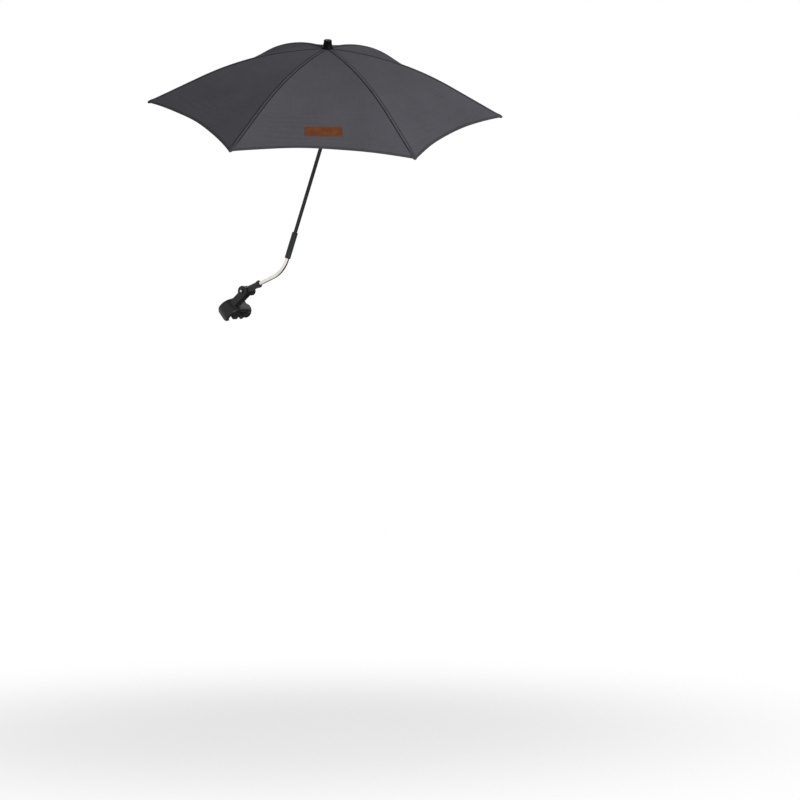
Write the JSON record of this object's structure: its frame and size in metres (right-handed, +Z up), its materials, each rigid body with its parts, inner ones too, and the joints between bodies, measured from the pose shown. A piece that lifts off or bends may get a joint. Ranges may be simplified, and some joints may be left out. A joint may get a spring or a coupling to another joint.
{
  "type": "pram parasol",
  "caption": "Pram parasol with a folding hexagonal fabric canopy on ribs, a tilting knuckle, a swivelling pole, a bent chrome arm and a screw clamp for a round pram tube.",
  "frame": {"origin": "centre of the clamp's jaws, on the axis of the tube that they grip", "axes": "+Z up, +X forward in the upright plane that holds the tube, the arm and the lower pole, +Y towards the clamp's knobs"},
  "size_m": [0.6249, 0.6845, 0.5703],
  "materials": {
    "canopy_fabric": "charcoal woven polyester with a fine plain weave",
    "frame_black": "satin black powder coat on steel",
    "plastic_black": "moulded black plastic, fine satin grain",
    "chrome": "bright chrome plating",
    "steel": "plain zinc-plated steel",
    "brass": "turned brass",
    "rubber": "soft black rubber",
    "leather": "brown leather with a stitched edge"
  },
  "bodies": {
    "clamp": {"clamp_body": "plastic_black", "clamp_lining": "rubber", "clamp_insert": "brass", "tilt_bolt": "steel"},
    "jaw": {"jaw_pad": "plastic_black", "jaw_lining": "rubber"},
    "screw": {"clamp_screw": "steel", "clamp_knob": "plastic_black"},
    "tilt_knob": {"tilt_knob": "plastic_black", "tilt_nut": "steel"},
    "arm": {"arm_socket": "plastic_black", "arm_rod": "chrome", "arm_set_screw": "steel", "arm_sleeve": "plastic_black"},
    "pole": {"lower_pole": "frame_black", "knuckle_fork": "plastic_black", "knuckle_pin": "steel"},
    "canopy_frame": {"knuckle_tongue": "plastic_black", "upper_pole": "frame_black", "crown": "plastic_black", "crown_pins": "steel", "finial": "plastic_black", "snap_ring": "steel"},
    "rib_1": {"rib_1": "frame_black", "rib_tip_1": "plastic_black", "rib_rivet_1": "steel", "canopy_gore_1": "canopy_fabric"},
    "stretcher_1": {"stretcher_1": "frame_black"},
    "rib_2": {"rib_2": "frame_black", "rib_tip_2": "plastic_black", "rib_rivet_2": "steel", "canopy_gore_2": "canopy_fabric"},
    "stretcher_2": {"stretcher_2": "frame_black"},
    "rib_3": {"rib_3": "frame_black", "rib_tip_3": "plastic_black", "rib_rivet_3": "steel", "canopy_gore_3": "canopy_fabric"},
    "stretcher_3": {"stretcher_3": "frame_black"},
    "rib_4": {"rib_4": "frame_black", "rib_tip_4": "plastic_black", "rib_rivet_4": "steel", "canopy_gore_4": "canopy_fabric"},
    "stretcher_4": {"stretcher_4": "frame_black"},
    "rib_5": {"rib_5": "frame_black", "rib_tip_5": "plastic_black", "rib_rivet_5": "steel", "canopy_gore_5": "canopy_fabric"},
    "stretcher_5": {"stretcher_5": "frame_black"},
    "rib_6": {"rib_6": "frame_black", "rib_tip_6": "plastic_black", "rib_rivet_6": "steel", "canopy_gore_6": "canopy_fabric", "leather_label": "leather"},
    "stretcher_6": {"stretcher_6": "frame_black"},
    "runner": {"runner": "plastic_black", "runner_pins": "steel"}
  },
  "joints": [
    {"name": "jaw_slide", "type": "slide", "parent": "clamp", "child": "jaw", "axis": [0, 1, 0], "range_m": [-0.004, 0.008]},
    {"name": "clamp_screw_turn", "type": "hinge", "parent": "jaw", "child": "screw", "pos_m": [0, 0.0403, 0], "axis": [0, 1, 0], "range_deg": [-721, 1441]},
    {"name": "tilt_knob_turn", "type": "hinge", "parent": "clamp", "child": "tilt_knob", "pos_m": [0.03802, 0.0104, 0.04003], "axis": [0, 1, 0], "range_deg": [0, 270]},
    {"name": "arm_tilt", "type": "hinge", "parent": "clamp", "child": "arm", "pos_m": [0.03802, 0, 0.04003], "axis": [0, -1, 0], "range_deg": [-55, 95]},
    {"name": "pole_swivel", "type": "hinge", "parent": "arm", "child": "pole", "pos_m": [0.16867, 0, 0.15832], "axis": [0.3567, 0, 0.9342], "range_deg": [-180, 180]},
    {"name": "canopy_tilt", "type": "hinge", "parent": "pole", "child": "canopy_frame", "pos_m": [0.24287, 0, 0.35264], "axis": [0.8587, -0.3939, -0.3279], "range_deg": [-16.5, 28.5]},
    {"name": "canopy_fold", "type": "hinge", "parent": "canopy_frame", "child": "rib_1", "pos_m": [0.29273, -0.04004, 0.51691], "axis": [-0.5421, 0.7636, 0.3507], "range_deg": [0, 69.6], "deforming": ["canopy_gore_1"]},
    {"name": "stretcher_1_swing", "type": "hinge", "parent": "rib_1", "child": "stretcher_1", "pos_m": [0.34745, 0.00509, 0.50322], "axis": [-0.5421, 0.7636, 0.3507], "range_deg": [-139.2, 0]},
    {"name": "rib_2_fold", "type": "hinge", "parent": "canopy_frame", "child": "rib_2", "pos_m": [0.28401, -0.03638, 0.52015], "axis": [-0.9691, -0.1296, 0.2099], "range_deg": [0, 69.6], "deforming": ["canopy_gore_2"]},
    {"name": "stretcher_2_swing", "type": "hinge", "parent": "rib_2", "child": "stretcher_2", "pos_m": [0.27652, 0.03485, 0.52953], "axis": [-0.9691, -0.1296, 0.2099], "range_deg": [-139.2, 0]},
    {"name": "rib_3_fold", "type": "hinge", "parent": "canopy_frame", "child": "rib_3", "pos_m": [0.27595, -0.04228, 0.52055], "axis": [-0.427, -0.8932, -0.1408], "range_deg": [0, 69.6], "deforming": ["canopy_gore_3"]},
    {"name": "stretcher_3_swing", "type": "hinge", "parent": "rib_3", "child": "stretcher_3", "pos_m": [0.21099, -0.01316, 0.53278], "axis": [-0.427, -0.8932, -0.1408], "range_deg": [-139.2, 0]},
    {"name": "rib_4_fold", "type": "hinge", "parent": "canopy_frame", "child": "rib_4", "pos_m": [0.27661, -0.05185, 0.51771], "axis": [0.5421, -0.7636, -0.3507], "range_deg": [0, 69.6], "deforming": ["canopy_gore_4"]},
    {"name": "stretcher_4_swing", "type": "hinge", "parent": "rib_4", "child": "stretcher_4", "pos_m": [0.21639, -0.09093, 0.50971], "axis": [0.5421, -0.7636, -0.3507], "range_deg": [-139.2, 0]},
    {"name": "rib_5_fold", "type": "hinge", "parent": "canopy_frame", "child": "rib_5", "pos_m": [0.28534, -0.05551, 0.51448], "axis": [0.9691, 0.1296, -0.2099], "range_deg": [0, 69.6], "deforming": ["canopy_gore_5"]},
    {"name": "stretcher_5_swing", "type": "hinge", "parent": "rib_5", "child": "stretcher_5", "pos_m": [0.28732, -0.12069, 0.4834], "axis": [0.9691, 0.1296, -0.2099], "range_deg": [-139.2, 0]},
    {"name": "rib_6_fold", "type": "hinge", "parent": "canopy_frame", "child": "rib_6", "pos_m": [0.2934, -0.04961, 0.51408], "axis": [0.427, 0.8932, 0.1408], "range_deg": [0, 69.6], "deforming": ["canopy_gore_6", "leather_label"]},
    {"name": "stretcher_6_swing", "type": "hinge", "parent": "rib_6", "child": "stretcher_6", "pos_m": [0.35285, -0.07268, 0.48015], "axis": [0.427, 0.8932, 0.1408], "range_deg": [-139.2, 0]},
    {"name": "runner_swing", "type": "hinge", "parent": "stretcher_1", "child": "runner", "pos_m": [0.28723, -0.03399, 0.49522], "axis": [-0.5421, 0.7636, 0.3507], "range_deg": [0, 69.6]}
  ],
  "couplings": [
    {"joint": "clamp_screw_turn", "follows": "jaw_slide", "rad_per_m": 3141.6},
    {"joint": "stretcher_1_swing", "follows": "canopy_fold", "ratio": -2},
    {"joint": "rib_2_fold", "follows": "canopy_fold", "ratio": 1},
    {"joint": "stretcher_2_swing", "follows": "canopy_fold", "ratio": -2},
    {"joint": "rib_3_fold", "follows": "canopy_fold", "ratio": 1},
    {"joint": "stretcher_3_swing", "follows": "canopy_fold", "ratio": -2},
    {"joint": "rib_4_fold", "follows": "canopy_fold", "ratio": 1},
    {"joint": "stretcher_4_swing", "follows": "canopy_fold", "ratio": -2},
    {"joint": "rib_5_fold", "follows": "canopy_fold", "ratio": 1},
    {"joint": "stretcher_5_swing", "follows": "canopy_fold", "ratio": -2},
    {"joint": "rib_6_fold", "follows": "canopy_fold", "ratio": 1},
    {"joint": "stretcher_6_swing", "follows": "canopy_fold", "ratio": -2},
    {"joint": "runner_swing", "follows": "canopy_fold", "ratio": 1}
  ]
}
